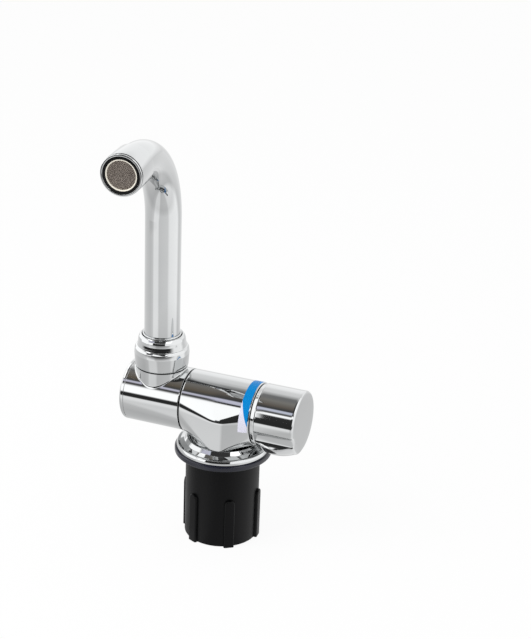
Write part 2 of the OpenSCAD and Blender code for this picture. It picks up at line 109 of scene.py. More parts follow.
def turnedBrass():
    # free-cutting brass off the lathe: warm yellow, with fine turning rings 0.8 mm apart
    material = noiseFinish("turnedBrass", (120.0, 5.0), ("#C9A253", "#E0C078"), (0.22, 0.38),
                           shader={"Metallic": 1.0})
    tree = material.node_tree
    place = addNode(tree, "ShaderNodeTexCoord").outputs["Object"]
    rings = addNode(tree, "ShaderNodeTexWave", {"Vector": place, "Scale": 400.0, "Distortion": 2.0},
                    bands_direction="Z")
    normal = addNode(tree, "ShaderNodeBump", {
        "Height": rings.outputs[1], "Distance": 0.00002, "Strength": 0.6})
    tree.links.new(normal.outputs[0], tree.nodes["Principled BSDF"].inputs["Normal"])
    return material


finishes = {
    # bright nickel-chrome over polished brass: a clean mirror, with faint water haze in patches
    # of 11 mm and buffing waves of 17 mm
    "chrome": noiseFinish("chromePlate", (90.0, 4.0), ("#C1C3C4", "#C7C8C8"), (0.015, 0.045),
                          relief=(60.0, 0.0, 0.00004, 1.0), shader={"Metallic": 1.0}),
    "brass": turnedBrass(),
    # stamped spring steel: neutral grey with a drawn grain
    "steel": noiseFinish("stainlessSteel", (700.0, 3.0), ("#9A9CA0", "#B6B8BB"), (0.25, 0.4),
                         relief=(700.0, 3.0, 0.00001, 0.4), shader={"Metallic": 1.0}),
    # black nitrile O-ring rubber: dull, with a grain under 1 mm
    "rubber": noiseFinish("sealRubber", (1200.0, 3.0), ("#070707", "#0E0E0F"), (0.4, 0.6),
                          relief=(1200.0, 3.0, 0.00002, 0.5), shader={"Specular IOR Level": 0.2}),
    # glass-filled nylon from a spark-eroded mould: near-black, with a soft sheen along the sides
    "black_plastic": noiseFinish("mouldedNylon", (60.0, 4.0), ("#020203", "#060608"), (0.36, 0.46),
                                 relief=(1500.0, 3.0, 0.00003, 0.6), shader={"Specular IOR Level": 0.15}),
    # black bearing acetal: plain and satin
    "dark_plastic": noiseFinish("darkAcetal", (300.0, 3.0), ("#101011", "#1B1B1C"), (0.35, 0.5)),
    # white PTFE: waxy and faintly cloudy
    "white_plastic": noiseFinish("slideWasherPlastic", (250.0, 4.0), ("#DEDED6", "#EDEDE6"), (0.3, 0.45)),
    # ivory acetal, kept wet by the water: bright and glossy
    "insert_plastic": noiseFinish("aeratorPlastic", (400.0, 3.0), ("#E9E2D2", "#F5F1E6"), (0.12, 0.25)),
    # enamel in a shallow recess: cold-water blue and a cool white, both with a faint 2 mm orange-peel
    "blue_paint": noiseFinish("blueEnamel", (500.0, 2.0), ("#007DC4", "#0086D0"), (0.3, 0.4),
                              relief=(500.0, 2.0, 0.00001, 0.3), shader={"Specular IOR Level": 0.1}),
    "white_paint": noiseFinish("whiteEnamel", (500.0, 2.0), ("#D9D8E8", "#E4E3F1"), (0.35, 0.45),
                               relief=(500.0, 2.0, 0.00001, 0.3)),
    # stainless screen wire, darkened by scale
    "mesh_steel": noiseFinish("wovenWire", (800.0, 4.0), ("#A59A92", "#C2B8AF"), (0.3, 0.5),
                              shader={"Metallic": 1.0}),
}
# moulded EPDM rubber: blue-black and slightly shiny from the mould, with dull patches
gasketFinish = noiseFinish("gasketRubber", (70.0, 3.0), ("#0B0D1A", "#14172A"), (0.2, 0.34),
                           relief=(900.0, 4.0, 0.00003, 0.5))
slotOf = {part["node"]: part["material_slot"] for part in frame["record"]["subparts"]}
for nodeName, node in frame["nodes"].items():
    for i in range(max(1, len(node.material_slots))):
        if not node.material_slots:
            node.data.materials.append(None)
        node.material_slots[i].material = finishes[slotOf[nodeName]]
print("materials made")


meshSizes = {"weld": 2e-6, "thinnest": 1e-7}    # metres


def finishPiece(name, points, faces, slotName, body, replaced, material=None, sharpAngle=34):
    # points in mm; closes doubles, turns the faces outward and shades smooth up to the given angle
    mesh = bpy.data.meshes.new(name)
    mesh.from_pydata([tuple(p) for p in np.asarray(points) * mm], [], [tuple(f) for f in faces])
    work = bmesh.new()
    work.from_mesh(mesh)
    bmesh.ops.remove_doubles(work, verts=work.verts, dist=meshSizes["weld"])
    bmesh.ops.dissolve_degenerate(work, edges=work.edges, dist=meshSizes["thinnest"])
    bmesh.ops.recalc_face_normals(work, faces=work.faces)
    work.to_mesh(mesh)
    work.free()
    mesh.polygons.foreach_set("use_smooth", [True] * len(mesh.polygons))
    mesh.set_sharp_from_angle(angle=math.radians(sharpAngle))
    mesh.materials.append(material or finishes[slotName])
    piece = bpy.data.objects.new(name, mesh)
    bpy.context.scene.collection.objects.link(piece)
    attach(piece, body)
    if replaced:
        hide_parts(*replaced)


def gridFaces(rows, columns, wrap):
    # quads of a grid of points stored row by row
    faces = []
    for i in range(rows - 1):
        for j in range(columns if wrap else columns - 1):
            k = (j + 1) % columns
            faces.append((i * columns + j, i * columns + k, (i + 1) * columns + k, (i + 1) * columns + j))
    return faces


def rounded(corners, steps=6):
    # (radius, height, fillet) corners of a closed outline -> points with each corner rounded
    outline = []
    count = len(corners)
    for i, (r, z, fillet) in enumerate(corners):
        here = np.array([r, z])
        if not fillet:
            outline.append(here)
            continue
        before = np.array(corners[i - 1][:2]) - here
        after = np.array(corners[(i + 1) % count][:2]) - here
        a, b = before / np.linalg.norm(before), after / np.linalg.norm(after)
        half = math.acos(max(-1, min(1, a @ b))) / 2
        reach = min(fillet / math.tan(half), 0.49 * np.linalg.norm(before), 0.49 * np.linalg.norm(after))
        radius = reach * math.tan(half)
        centre = here + (a + b) / np.linalg.norm(a + b) * radius / math.sin(half)
        start, end = here + a * reach - centre, here + b * reach - centre
        turn = math.atan2(start[0] * end[1] - start[1] * end[0], start @ end)
        for k in range(steps + 1):
            c, s = math.cos(turn * k / steps), math.sin(turn * k / steps)
            outline.append(centre + np.array([c * start[0] - s * start[1], s * start[0] + c * start[1]]))
    return np.array(outline)


def turned(outline, place=Matrix.Identity(4), steps=224):
    # a closed outline (radius, height) turned about the local Z axis of place, in mm
    angles = np.linspace(0, 2 * math.pi, steps, endpoint=False)
    r, z = outline[:, 0], outline[:, 1]
    ring = np.stack([np.outer(np.cos(angles), r), np.outer(np.sin(angles), r),
                     np.broadcast_to(z, (steps, len(r)))], axis=2).reshape(-1, 3)
    turn = np.array(place.to_3x3())
    points = ring @ turn.T + np.array(place.translation)
    rows, columns = steps, len(outline)
    faces = []
    for i in range(rows):
        for j in range(columns):
            k, n = (j + 1) % columns, (i + 1) % rows
            faces.append((i * columns + j, n * columns + j, n * columns + k, i * columns + k))
    return points, faces


def along(start, direction):
    # a frame whose local Z runs along a direction
    return Matrix.Translation(start) @ Vector(direction).to_track_quat("Z", "Y").to_matrix().to_4x4()


alongBarrel = Matrix.Translation((0, 0, axisZ)) @ Matrix.Rotation(math.pi / 2, 4, "Y")
atSpout = Matrix.Translation((spoutX, 0, 0))


def smoothMin(a, b, k):
    h = np.clip(1 - np.abs(a - b) / k, 0, None)
    return np.minimum(a, b) - h * h * k / 4


def blendedBarrel(barrelR, postX, postR, endZ, blend, sections, samples=420, keep=150, flat=9):
    # Loops of points round the barrel, one for each x. The post leaves the barrel upwards only and
    # ends in a flat at height endZ above the axis.
    def inside(x, y, z):
        distance = np.hypot(x - postX, y) - np.where(z > 0, postR, -50.0)
        return smoothMin(np.hypot(y, z) - barrelR, distance, blend)

    def solve(low, high, test):
        for _ in range(44):
            middle = (low + high) / 2
            negative = test(middle) < 0
            low, high = np.where(negative, middle, low), np.where(negative, high, middle)
        return (low + high) / 2

    x = np.array([s[0] for s in sections])
    shrink = np.array([s[1] for s in sections])
    flatY = solve(np.zeros_like(x), np.full_like(x, 30.0), lambda y: inside(x, y, np.full_like(x, endZ)))
    none = inside(x, np.zeros_like(x), np.full_like(x, endZ)) > 0
    flatY = np.where(none, 0, flatY)
    crest = solve(np.full_like(x, 5.0), np.full_like(x, endZ + 1), lambda z: inside(x, 0 * z, z))
    topZ = np.where(none, crest, endZ)
    lastAngle = np.arctan2(topZ, flatY)
    share = np.linspace(0, 1, samples)
    angle = -math.pi / 2 + share[None, :] * (lastAngle[:, None] + math.pi / 2)
    grid = np.broadcast_to(x[:, None], angle.shape)
    reach = solve(np.full_like(angle, 4.0), np.full_like(angle, 45.0),
                  lambda r: inside(grid, r * np.cos(angle), r * np.sin(angle)))
    y, z = reach * np.cos(angle), reach * np.sin(angle)
    y[:, -1], z[:, -1] = flatY, topZ
    loops = []
    for i in range(len(x)):
        step = np.hypot(np.diff(y[i]), np.diff(z[i]))
        length = np.concatenate([[0], np.cumsum(step)])
        want = np.linspace(0, length[-1], keep)
        half = np.stack([np.interp(want, length, y[i]), np.interp(want, length, z[i])], axis=1)
        cap = np.stack([np.linspace(flatY[i], -flatY[i], flat)[1:-1], np.full(flat - 2, topZ[i])], axis=1)
        loop = np.concatenate([half, cap, (half * [-1, 1])[::-1][:-1]])
        loop *= 1 - shrink[i] / barrelR
        loops.append(np.column_stack([np.full(len(loop), x[i]), loop[:, 0], loop[:, 1] + axisZ]))
    return np.array(loops)


def boreRings(loop, bore):
    # rings of a stepped bore, (x, radius) each, facing the points of an end loop
    turn = np.arctan2(loop[:, 2] - axisZ, loop[:, 1])
    return [np.column_stack([np.full(len(turn), x), r * np.cos(turn), axisZ + r * np.sin(turn)])
            for x, r in bore]


def stackedRings(rows, through):
    # closes a stack of rings: joined back to the first ring for a through bore, or capped at both ends
    rows = list(rows) + ([rows[0]] if through else [])
    count = len(rows[0])
    faces = gridFaces(len(rows), count, True)
    if not through:
        faces += [tuple(range(count)), tuple(range((len(rows) - 1) * count, len(rows) * count))]
    return np.concatenate(rows), faces


def edgeSections(x1, x2, middle, edge=0.3, steps=4):
    # x positions with the inward shift of a small rounded edge at both ends
    start = [(x1 + edge * (1 - math.cos(a)), edge * (1 - math.sin(a)))
             for a in np.linspace(0, math.pi / 2, steps, endpoint=False)]
    end = [(x2 - (p[0] - x1), p[1]) for p in start[::-1]]
    return start + [(m, 0.0) for m in middle] + end


castingSizes = {
    "radius": 16.87, "left": -19.2, "right": 20.5, "keelLeft": 0.2, "keelRight": 6.2, "soft": 0.12,
    "wall": 19.3, "round": 8.0, "drop": 2.0, "foot": 8.5, "corner": 0.5, "footRadius": 16.5, "footTop": 12.0,
}


def castingSections(xs):
    # each section is the barrel's circle drawn out to the upright keels at the front and back:
    # corner by corner, the point of the section that lies furthest out along each direction
    s = castingSizes
    shoulder = math.acos((s["radius"] - s["round"]) / math.hypot(s["wall"] - s["round"], s["drop"]))
    shoulder -= math.atan2(s["drop"], s["wall"] - s["round"])
    quarter = math.pi / 2
    base = s["foot"] + s["corner"] - axisZ
    parts = [(np.linspace(-quarter, 0, 26), s["corner"], s["wall"] - s["corner"], base),
             (np.linspace(0, shoulder, 40), s["round"], s["wall"] - s["round"], -s["drop"]),
             (np.linspace(shoulder, quarter, 60), s["radius"], 0.0, 0.0)]
    circle, keel = [], []
    for angle, radius, u, v in parts:
        way = np.stack([np.cos(angle), np.sin(angle)], axis=1)
        circle.append(way * s["radius"])
        keel.append(way * radius + [u, v])
    circle, keel = np.concatenate(circle), np.concatenate(keel)
    mirror = np.array([-1, 1])
    circle = np.concatenate([circle, circle[::-1][1:] * mirror])
    keel = np.concatenate([keel, keel[::-1][1:] * mirror])
    rise = (xs - s["left"]) / (s["keelLeft"] - s["left"])
    fall = (s["right"] - xs) / (s["right"] - s["keelRight"])
    rise = smoothMin(rise, np.ones_like(xs), s["soft"])
    share = np.clip(smoothMin(rise, fall, s["soft"]), 0, 1)[:, None, None]
    section = circle * (1 - share) + keel * share
    place = np.broadcast_to(xs[:, None], section.shape[:2])
    return np.stack([place, -section[..., 0], axisZ + section[..., 1]], axis=2)


s = castingSizes
middle = np.linspace(s["left"] + 0.3, s["right"] - 0.3, 130)
ends = edgeSections(s["left"], s["right"], middle)
loops = castingSections(np.array([e[0] for e in ends]))
for loop, (x, shrink) in zip(loops, ends):
    loop[:, 1] *= 1 - shrink / s["radius"]
    loop[:, 2] = axisZ + (loop[:, 2] - axisZ) * (1 - shrink / s["radius"])
# the bore from the valve's seat at the right to the pivot's at the left
castingBore = [(s["right"], 12.6), (18.8, 12.6), (18.8, 10.5), (9.0, 10.5), (9.0, 7.6), (-5.0, 7.6),
               (-5.0, 3.4), (-9.0, 3.4), (-9.0, 5.8), (-10.8, 5.8), (-10.8, 9.1), (s["left"], 9.1)]
points, faces = stackedRings(list(loops) + boreRings(loops[-1], castingBore), through=True)
finishPiece("bodyCasting", points, faces, "chrome", "body", ["body_casting"])
footBlock = rounded([(0.01, s["foot"], 0), (s["footRadius"], s["foot"], 0),
                     (s["footRadius"], s["footTop"], 0), (0.01, s["footTop"], 0)])
finishPiece("castingFoot", *turned(footBlock), "chrome", "body", [])

carrierSizes = {"right": -20.0, "left": -51.85, "neckRadius": 13.9, "neckTop": 43.1, "blend": 0.45}
s = carrierSizes
neckSpan = spoutX + (s["neckRadius"] + 0.6) * np.sin(np.linspace(-math.pi / 2, math.pi / 2, 120))
middle = np.concatenate([np.linspace(s["left"] + 0.15, neckSpan[0] - 0.2, 5), neckSpan,
                         np.linspace(neckSpan[-1] + 0.3, s["right"] - 0.35, 14)])
loops = blendedBarrel(castingSizes["radius"], spoutX, s["neckRadius"], s["neckTop"] - axisZ, s["blend"],
                      edgeSections(s["left"], s["right"], middle, 0.12))
carrierBore = [(s["right"], 9.05), (-47.5, 9.05), (-47.5, 12.6), (s["left"], 12.6)]
points, faces = stackedRings(list(loops) + boreRings(loops[-1], carrierBore), through=True)
finishPiece("carrierHousing", points, faces, "chrome", "carrier", ["carrier_housing"])

capSizes = {"left": -54.35, "right": -51.95, "round": 2.3, "edge": 0.12, "wall": 1.5,
            "spigot": 12.5, "hollow": 11.5, "spigotLength": 0.7}
s = capSizes
radius, wallFace, spigotEnd = castingSizes["radius"], s["left"] + s["wall"], s["right"] + s["spigotLength"]
outline = rounded([(0.01, s["left"], 0), (radius, s["left"], s["round"]), (radius, s["right"], s["edge"]),
                   (s["spigot"], s["right"], 0), (s["spigot"], spigotEnd, 0), (s["hollow"], spigotEnd, 0),
                   (s["hollow"], wallFace, 0), (0.01, wallFace, 0)], 10)
finishPiece("endCap", *turned(outline, alongBarrel), "chrome", "carrier", ["end_cap"])

threadSizes = {"inner": 11.0, "outer": 12.0, "bottom": 40.5, "top": 53.9, "round": 0.3}
s = threadSizes
neckThread = rounded([(s["inner"], s["bottom"], 0), (s["outer"], s["bottom"], 0),
                      (s["outer"], s["top"], s["round"]), (s["inner"], s["top"], 0)])
finishPiece("neckThread", *turned(neckThread, atSpout), "chrome", "carrier", [])
print("barrel pieces made")


collarSizes = {"bottom": 43.3, "height": 18.15}
s = collarSizes
top = s["bottom"] + s["height"]
outline = rounded(
    [(12.1, s["bottom"], 0), (13.5, s["bottom"], 0.3), (14.3, s["bottom"] + 0.9, 0.4),
     (14.75, s["bottom"] + 7.9, 0.5), (14.45, s["bottom"] + 10.4, 1.2), (13.75, s["bottom"] + 11.5, 0.6),
     (13.2, s["bottom"] + 11.8, 0.2), (13.05, s["bottom"] + 12.9, 0.3), (12.8, s["bottom"] + 14.2, 0.4),
     (12.62, top - 2.3, 0.6), (12.25, top - 1.25, 0.9), (11.6, top - 0.35, 0.6), (10.95, top, 0.25),
     (10.75, top - 0.3, 0.1), (10.75, top - 3.4, 0), (11.55, top - 3.6, 0), (11.55, top - 7.5, 0),
     (12.1, top - 7.6, 0)], 5)
finishPiece("collarNut", *turned(outline, atSpout), "chrome", "carrier", ["collar_nut"])

footSizes = {"bore": 7.6, "socket": 10.05, "bottom": 44.3, "flange": 11.3, "flangeBottom": 54.1,
             "flangeTop": 56.0, "ring": 10.4, "top": 62.15, "tube": 9.5, "seat": 53.0, "chamfer": 52.4}
s = footSizes
outline = rounded([(s["bore"], s["bottom"], 0), (s["socket"], s["bottom"], 0.2),
                   (s["socket"], s["flangeBottom"], 0), (s["flange"], s["flangeBottom"], 0.15),
                   (s["flange"], s["flangeTop"], 0.15), (s["ring"], s["flangeTop"], 0),
                   (s["ring"], s["top"], 0.42), (s["tube"], s["top"], 0.4), (s["tube"], s["seat"], 0),
                   (s["bore"], s["chamfer"], 0)], 6)
finishPiece("spoutFoot", *turned(outline, atSpout), "chrome", "spout", ["spout_foot"])
print("collar made")


# the spout tube is a curve swept by Geometry Nodes
spoutSizes = {"radius": 9.5, "bore": 8.5, "seat": 52.4, "top": 167.8, "bend": 41.4, "arm": 6.6,
              "droop": 2.0, "turn": 6.0, "reach": 19.6}
s = spoutSizes
bendZ = s["top"] - s["bend"]
swing = Matrix.Translation((spoutX, 0, 0)) @ Matrix.Rotation(math.radians(s["turn"]), 4, "Z")
droop = math.radians(90 + s["droop"])
armStart = Vector((0, -s["bend"] + s["bend"] * math.cos(droop), bendZ + s["bend"] * math.sin(droop)))
armWay = Vector((0, -math.sin(droop), math.cos(droop)))
path = [Vector((0, 0, z)) for z in np.linspace(s["seat"], bendZ, 24, endpoint=False)]
path += [Vector((0, -s["bend"] + s["bend"] * math.cos(a), bendZ + s["bend"] * math.sin(a)))
         for a in np.linspace(0, droop, 72)]
path += [armStart + armWay * d for d in np.linspace(0.6, s["arm"], 6)]
route = [swing @ p for p in path]
atMouth = swing @ along(armStart + armWay * s["reach"], armWay)


def nodeTree(name, sizes):
    # an empty Geometry Nodes tree with named number inputs
    tree = bpy.data.node_groups.new(name, "GeometryNodeTree")
    tree.interface.new_socket("Geometry", in_out="INPUT", socket_type="NodeSocketGeometry")
    sockets = {}
    for key, value in sizes.items():
        kind = "NodeSocketInt" if isinstance(value, int) else "NodeSocketFloat"
        sockets[key] = tree.interface.new_socket(key, in_out="INPUT", socket_type=kind).identifier
    tree.interface.new_socket("Geometry", in_out="OUTPUT", socket_type="NodeSocketGeometry")
    return tree, sockets, tree.nodes.new("NodeGroupInput"), tree.nodes.new("NodeGroupOutput")


def bakeNodes(source, tree, sockets, sizes, name):
    # runs the tree on the source object and returns its result as (points in mm, faces)
    modifier = source.modifiers.new(name, "NODES")
    modifier.node_group = tree
    for key, value in sizes.items():
        modifier[sockets[key]] = value
    bpy.context.view_layer.update()
    shape = bpy.data.meshes.new_from_object(source.evaluated_get(bpy.context.evaluated_depsgraph_get()))
    source.modifiers.remove(modifier)
    points = np.array([v.co for v in shape.vertices]) / mm
    faces = [tuple(p.vertices) for p in shape.polygons]
    bpy.data.meshes.remove(shape)
    bpy.data.objects.remove(source)
    return points, faces


def curveObject(name, lines):
    curve = bpy.data.curves.new(name, "CURVE")
    curve.dimensions = "3D"
    for line in lines:
        spline = curve.splines.new("POLY")
        spline.points.add(len(line) - 1)
        for point, place in zip(spline.points, line):
            point.co = (*place, 1)
    source = bpy.data.objects.new(name, curve)
    bpy.context.scene.collection.objects.link(source)
    return source


sweepInputs = {"Radius": s["radius"] * mm, "Sides": 160}
tree, sockets, start, end = nodeTree("sweptTube", sweepInputs)
ring = addNode(tree, "GeometryNodeCurvePrimitiveCircle",
               {"Resolution": start.outputs["Sides"], "Radius": start.outputs["Radius"]})
swept = addNode(tree, "GeometryNodeCurveToMesh", {"Curve": start.outputs["Geometry"],
                                                  "Profile Curve": ring.outputs[0]})
real = addNode(tree, "GeometryNodeRealizeInstances", {"Geometry": swept.outputs[0]})
coat = addNode(tree, "GeometryNodeSetMaterial", {"Geometry": real.outputs[0], "Material": finishes["chrome"]})
tree.links.new(coat.outputs[0], end.inputs[0])

outer = bakeNodes(curveObject("spoutRoute", [[p * mm for p in route]]), tree, sockets, sweepInputs, "tubeOut")
inner = bakeNodes(curveObject("spoutRoute", [[p * mm for p in route]]), tree, sockets,
                  {"Radius": s["bore"] * mm, "Sides": 96}, "tubeIn")
points = np.concatenate([outer[0], inner[0]])
faces = outer[1] + [tuple(i + len(outer[0]) for i in f)[::-1] for f in inner[1]]
finishPiece("spoutTube", points, faces, "chrome", "spout", ["spout_tube"])
print("spout tube made")

mouthSizes = {"sleeve": 10.65, "length": 17.0, "groove": 0.6, "lip": 1.0, "faceRing": 10.5, "bore": 9.6,
              "tubeEnd": 4.0, "stop": 1.0, "rubberOut": 9.4, "rubberIn": 7.95, "mesh": 7.25, "recess": 0.9}
s = mouthSizes
tube, tubeBore = spoutSizes["radius"], spoutSizes["bore"]
back, front = -s["length"], -s["lip"] - s["groove"]
stop, stopEnd = back + s["tubeEnd"], back + s["tubeEnd"] + s["stop"]
outline = rounded([(tube, back, 0), (s["sleeve"], back, 0.5), (s["sleeve"], front, 0.15),
                   (s["bore"], front, 0), (s["bore"], stopEnd, 0), (tubeBore, stopEnd, 0),
                   (tubeBore, stop, 0), (tube, stop, 0)])
finishPiece("mouthSleeve", *turned(outline, atMouth), "chrome", "spout", ["mouth_sleeve"])
outline = rounded([(8.0, -9, 0), (9.5, -9, 0.2), (9.5, -s["lip"], 0), (s["faceRing"], -s["lip"], 0.15),
                   (s["faceRing"], 0, 0.35), (s["rubberOut"], 0, 0.3), (s["rubberOut"], -s["recess"], 0),
                   (8.0, -s["recess"], 0)])
finishPiece("aeratorShell", *turned(outline, atMouth), "chrome", "spout", ["aerator_shell"])
outline = rounded([(s["rubberIn"], -s["recess"], 0), (s["rubberOut"], -s["recess"], 0),
                   (s["rubberOut"], -0.35, 0.25), (s["rubberIn"], -0.15, 0.15)])
finishPiece("aeratorRubber", *turned(outline, atMouth), "rubber", "spout", ["aerator_gasket"])
outline = rounded([(s["mesh"], -8, 0), (s["rubberIn"], -8, 0), (s["rubberIn"], -0.1, 0.4),
                   (s["mesh"], -0.5, 0.3)])
finishPiece("aeratorInsert", *turned(outline, atMouth), "insert_plastic", "spout", ["aerator_insert"])

# woven screen: over-and-under wires swept by the same kind of tree
screenSizes = {"pitch": 0.52, "wire": 0.13, "depth": -1.0}
w = screenSizes
count = int(s["mesh"] / w["pitch"])
wires = []
for i in range(-count, count + 1):
    offset = i * w["pitch"]
    half = math.sqrt(max(s["mesh"] ** 2 - offset ** 2, 0.1))
    for across in (0, 1):
        line = []
        for t in np.linspace(-half, half, 84):
            lift = w["wire"] * math.cos(math.pi * t / w["pitch"] + math.pi * (i + across))
            flatPoint = (t, offset, w["depth"] + lift) if across else (offset, t, w["depth"] - lift)
            line.append(atMouth @ Vector(flatPoint) * mm)
        wires.append(line)
points, faces = bakeNodes(curveObject("screenWires", wires), tree, sockets,
                          {"Radius": w["wire"] * mm, "Sides": 6}, "screen")
finishPiece("screenMesh", points, faces, "mesh_steel", "spout", ["aerator_mesh"], sharpAngle=180)
print("mouth made")


flangeSizes = {"bore": 16.6, "seat": 3.05, "edge": 4.3, "bottomRadius": 25.15, "topRadius": 24.6,
               "rim": 5.75, "foot": 8.45}
s = flangeSizes
outline = rounded([(s["bore"], s["seat"], 0), (s["bottomRadius"], s["seat"], 0.3),
                   (s["bottomRadius"], s["edge"], 0.8), (s["topRadius"], s["rim"], 0.5),
                   (23.2, s["rim"] - 0.25, 0.6), (21.0, 6.5, 1.0), (19.5, s["foot"], 0.2),
                   (s["bore"], s["foot"], 0)], 8)
finishPiece("deckFlange", *turned(outline), "chrome", "body", ["deck_flange"])

gasketSizes = {"bore": 16.6, "radius": 26.15, "height": 3.0, "lowRound": 0.6, "topRound": 0.9}
s = gasketSizes
outline = rounded([(s["bore"], 0.0, 0), (s["radius"], 0.0, s["lowRound"]),
                   (s["radius"], s["height"], s["topRound"]), (s["bore"], s["height"], 0)], 8)
finishPiece("deckGasket", *turned(outline), "rubber", "body", ["deck_gasket"], material=gasketFinish)

nutSizes = {"radius": 20.0, "bore": 16.6, "height": 48.75, "ribs": 6, "ribRadius": 21.3,
            "ribWidth": 5.6, "ribRoot": 1.5, "ribCorner": 0.8, "plain": 20.2, "phase": 34.5, "gap": 0.02}
s = nutSizes
outline = rounded([(s["bore"], -s["height"], 0.4), (s["radius"], -s["height"], 0.6),
                   (s["radius"], -s["gap"], 0.3), (s["bore"], -s["gap"], 0.3)])
nutBody = turned(outline)
# one rib: a rounded bar along Z with a round top, standing at the nut's radius on the -Y side
ribTop = -s["plain"]
rows = []
for z, share in [(-s["height"], 1.0), (-s["height"] + 0.01, 1.0)] + [
        (ribTop - s["ribWidth"] / 2 * (1 - math.sin(a)), math.cos(a)) for a in np.linspace(0, 1.45, 9)]:
    half = s["ribWidth"] / 2 * share
    rise = (s["ribRadius"] - s["radius"]) * min(1, share * 2.4)
    corner = min(s["ribCorner"], half * 0.6)
    root, crest = -s["radius"] + s["ribRoot"], -s["radius"] - rise
    bar = rounded([(-half, root, 0), (half, root, 0), (half, crest, corner), (-half, crest, corner)], 5)
    rows.append(np.column_stack([bar, np.full(len(bar), z)]))
ribPoints = np.concatenate(rows)
ribFaces = gridFaces(len(rows), len(rows[0]), True)
ribFaces += [tuple(range(len(rows[0]))), tuple(range(len(ribPoints) - len(rows[0]), len(ribPoints)))]
ribMesh = bpy.data.meshes.new("ribShape")
ribMesh.from_pydata([tuple(p) for p in ribPoints * mm], [], ribFaces)
ribSource = bpy.data.objects.new("ribShape", ribMesh)
bpy.context.scene.collection.objects.link(ribSource)

ribInputs = {"Count": s["ribs"], "First angle": math.radians(s["phase"])}
tree, sockets, start, end = nodeTree("ribsRound", ribInputs)
stepAngle = addNode(tree, "ShaderNodeMath", {0: 2 * math.pi, 1: start.outputs["Count"]}, operation="DIVIDE")
dots = addNode(tree, "GeometryNodeMeshLine", {"Count": start.outputs["Count"], "Offset": (0, 0, 0)})
number = addNode(tree, "GeometryNodeInputIndex")
turnBy = addNode(tree, "ShaderNodeMath", {0: number.outputs[0], 1: stepAngle.outputs[0],
                                          2: start.outputs["First angle"]}, operation="MULTIPLY_ADD")
spin = addNode(tree, "ShaderNodeCombineXYZ", {"Z": turnBy.outputs[0]})
copies = addNode(tree, "GeometryNodeInstanceOnPoints", {"Points": dots.outputs[0],
                                                        "Instance": start.outputs["Geometry"],
                                                        "Rotation": spin.outputs[0]})
real = addNode(tree, "GeometryNodeRealizeInstances", {"Geometry": copies.outputs[0]})
coat = addNode(tree, "GeometryNodeSetMaterial", {"Geometry": real.outputs[0],
                                                 "Material": finishes["black_plastic"]})
tree.links.new(coat.outputs[0], end.inputs[0])
ribs = bakeNodes(ribSource, tree, sockets, ribInputs, "ribs")
points = np.concatenate([nutBody[0], ribs[0]])
faces = nutBody[1] + [tuple(i + len(nutBody[0]) for i in f) for f in ribs[1]]
finishPiece("lockNut", points, faces, "black_plastic", "body", ["lock_nut"])
print("foot made")


# the flow mark lies in a shallow recess of the casting; low, tip and full are heights above the axis
markSizes = {"left": 15.0, "right": 19.8, "proud": 0.04, "depth": 0.4, "low": -3.8, "tip": -0.59,
             "full": 11.93}


def markGrid(stations, count):
    # lines of evenly spaced points over the casting, from one low end of the mark to the other
    s = markSizes
    lines = []
    for line in castingSections(stations):
        height = line[:, 2] - axisZ
        inside = np.nonzero(height > s["low"])[0]
        first, last = inside[0], inside[-1]

        def cut(a, b):
            t = (s["low"] - height[a]) / (height[b] - height[a])
            return line[a] + (line[b] - line[a]) * t
        line = np.concatenate([[cut(first - 1, first)], line[first:last + 1], [cut(last + 1, last)]])
        length = np.concatenate([[0], np.cumsum(np.linalg.norm(np.diff(line, axis=0), axis=1))])
        want = np.linspace(0, length[-1], count)
        lines.append(np.stack([np.interp(want, length, line[:, k]) for k in range(3)], axis=1))
    return np.array(lines)


def markPiece(name, blue, slotName, node):
    s = markSizes
    count, across = 321, 6
    stations = np.linspace(s["left"], s["right"], 13)
    grid = markGrid(stations, count)

    def onCasting(j, x, out):
        y = np.interp(x, stations, grid[:, j, 1])
        z = np.interp(x, stations, grid[:, j, 2]) - axisZ
        scale = 1 + out / math.hypot(y, z)
        return (x, y * scale, axisZ + z * scale)

    rows, widths = [], []
    for j in range(count):
        border = (s["left"] + s["right"]) / 2
        for _ in range(4):    # the border and the height under it settle together
            z = np.interp(border, stations, grid[:, j, 2]) - axisZ
            share = min(1, max(0, (z - s["tip"]) / (s["full"] - s["tip"])))
            border = s["right"] - share * (s["right"] - s["left"])
        x1, x2 = (border, s["right"]) if blue else (s["left"], border)
        widths.append(x2 - x1)
        ring = [onCasting(j, x1, -s["depth"])]
        ring += [onCasting(j, x, s["proud"]) for x in np.linspace(x1, x2, across)]
        rows.append(ring + [onCasting(j, x2, -s["depth"])])
    points = np.concatenate(rows)
    columns = across + 2
    faces = []
    for i, face in enumerate(gridFaces(count, columns, True)):
        if widths[i // columns] > 1e-3 or widths[i // columns + 1] > 1e-3:
            faces.append(face)
    for j in range(count):
        before = j > 0 and widths[j - 1] > 1e-3
        after = j < count - 1 and widths[j + 1] > 1e-3
        if widths[j] > 1e-3 and not (before and after) and (j in (0, count - 1)):
            faces.append(tuple(range(j * columns, (j + 1) * columns)))
    finishPiece(name, points, faces, slotName, "body", [node])


markPiece("flowMarkBlue", True, "blue_paint", "flow_mark_blue")
markPiece("flowMarkWhite", False, "white_paint", "flow_mark_white")
print("flow mark made")


knobSizes = {"left": 20.9, "right": 44.8, "radius": 16.87, "bead": 1.9, "beadLean": 0.5, "groove": 0.35,
             "edge": 1.4, "cavity": 13.6, "depth": 16.0, "lobeRise": 2.9, "lobeRadius": 14.0, "lobeX": 32.9,
             "lobeBow": 23.8, "lobeTurn": -68.0, "scoopRadius": 6.0, "scoopDepth": 2.0, "scoopTurn": -21.0}
knobTurns = np.radians(np.linspace(0, 360, 480, endpoint=False))   # above level at the front


